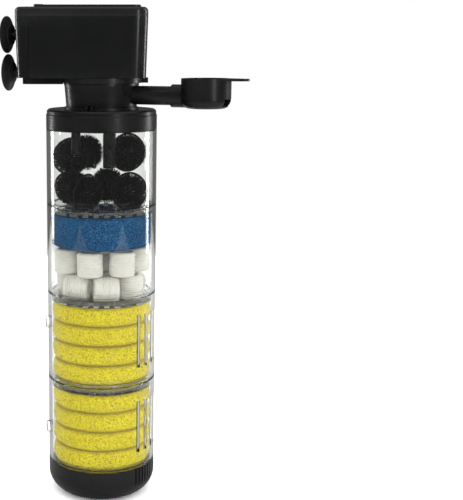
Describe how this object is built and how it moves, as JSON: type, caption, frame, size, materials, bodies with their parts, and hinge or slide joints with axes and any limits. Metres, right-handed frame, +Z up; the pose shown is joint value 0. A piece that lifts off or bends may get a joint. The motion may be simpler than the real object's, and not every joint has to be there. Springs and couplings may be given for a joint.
{
  "type": "internal power filter",
  "caption": "Submersible aquarium power filter: clear stacked media barrels on a black base cup, swivelling pump head, side outlet cup and suction cups.",
  "frame": {"origin": "centre of the base cup's flat underside", "axes": "+Z up along the canister, X along the pump with the suction cups at -X, +Y to the pump's back"},
  "size_m": [0.1726, 0.0881, 0.3625],
  "materials": {
    "black_plastic": "satin",
    "pump_plastic": "semi-gloss",
    "clear_plastic": "clear gloss",
    "yellow_foam": "open-cell foam",
    "blue_foam": "open-cell foam",
    "ceramic": "matt, porous",
    "ball_plastic": "satin",
    "black_rubber": "smooth",
    "clear_rubber": "clear silicone",
    "ferrite": "ground",
    "core_steel": "stacked sheets",
    "copper": "enamelled wire",
    "bobbin_plastic": "matt",
    "resin": "cast"
  },
  "bodies": {
    "base": {"base_cup": "black_plastic"},
    "lower_barrel": {"intake_barrel_lower": "clear_plastic", "seal_base": "black_rubber", "sponge_lower": "yellow_foam"},
    "upper_barrel": {"intake_barrel_upper": "clear_plastic", "seal_lower": "clear_rubber", "sponge_upper": "yellow_foam"},
    "ring_barrel": {"ring_barrel": "clear_plastic", "seal_middle": "clear_rubber", "ceramic_rings": "ceramic", "blue_sponge": "blue_foam"},
    "ball_barrel": {"ball_barrel": "clear_plastic", "seal_upper": "clear_rubber", "bio_balls": "ball_plastic"},
    "cap": {"top_cap": "black_plastic", "seal_cap": "black_rubber", "cap_neck": "black_plastic", "eye_plate": "black_plastic", "suction_tube": "black_plastic", "return_tube": "black_plastic", "outlet_pipe": "black_plastic", "outlet_seal": "black_rubber", "shaft_bush_lower": "black_rubber"},
    "outlet_cup": {"outlet_cup": "black_plastic"},
    "pump": {"pump_collar": "black_plastic", "neck_seal": "black_rubber", "pump_housing": "pump_plastic", "pump_lid": "pump_plastic", "cable_gland": "black_rubber", "rotor_can": "black_plastic", "rotor_shaft": "ceramic", "shaft_bush_upper": "black_rubber", "stator_core": "core_steel", "coil_bobbin": "bobbin_plastic", "coil_winding": "copper", "potting": "resin"},
    "lock_ring": {"lock_ring": "black_plastic"},
    "rotor": {"rotor_magnet": "ferrite", "impeller": "black_plastic"},
    "bracket": {"suction_bracket": "pump_plastic"},
    "cup_upper": {"suction_cup_upper": "black_rubber"},
    "cup_lower": {"suction_cup_lower": "black_rubber"}
  },
  "joints": [
    {"name": "base_twist", "type": "hinge", "parent": "base", "child": "lower_barrel", "pos_m": [0, 0, 0.025], "axis": [0, 0, 1], "range_deg": [0, 30]},
    {"name": "upper_barrel_lift", "type": "slide", "parent": "lower_barrel", "child": "upper_barrel", "axis": [0, 0, 1], "range_m": [0, 0.012]},
    {"name": "ring_barrel_lift", "type": "slide", "parent": "upper_barrel", "child": "ring_barrel", "axis": [0, 0, 1], "range_m": [0, 0.012]},
    {"name": "ball_barrel_lift", "type": "slide", "parent": "ring_barrel", "child": "ball_barrel", "axis": [0, 0, 1], "range_m": [0, 0.012]},
    {"name": "cap_lift", "type": "slide", "parent": "ball_barrel", "child": "cap", "axis": [0, 0, 1], "range_m": [0, 0.012]},
    {"name": "outlet_turn", "type": "hinge", "parent": "cap", "child": "outlet_cup", "pos_m": [0, 0, 0.2987], "axis": [0.9205, -0.3907, 0], "continuous": true},
    {"name": "head_swivel", "type": "hinge", "parent": "cap", "child": "pump", "pos_m": [0, 0, 0.3055], "axis": [0, 0, 1], "range_deg": [-90, 90]},
    {"name": "lock_turn", "type": "hinge", "parent": "pump", "child": "lock_ring", "pos_m": [0, 0, 0.309], "axis": [0, 0, 1], "range_deg": [0, 20]},
    {"name": "rotor_spin", "type": "hinge", "parent": "pump", "child": "rotor", "pos_m": [0, 0, 0.32], "axis": [0, 0, 1], "continuous": true},
    {"name": "bracket_slide", "type": "slide", "parent": "pump", "child": "bracket", "axis": [0, 0, 1], "range_m": [-0.033, 0]},
    {"name": "cup_upper_tilt", "type": "hinge", "parent": "bracket", "child": "cup_upper", "pos_m": [-0.06055, 0, 0.3409], "axis": [0, 0, 1], "range_deg": [-6, 38]},
    {"name": "cup_lower_tilt", "type": "hinge", "parent": "bracket", "child": "cup_lower", "pos_m": [-0.05979, 0, 0.3143], "axis": [0, 0, 1], "range_deg": [-6, 38]}
  ]
}
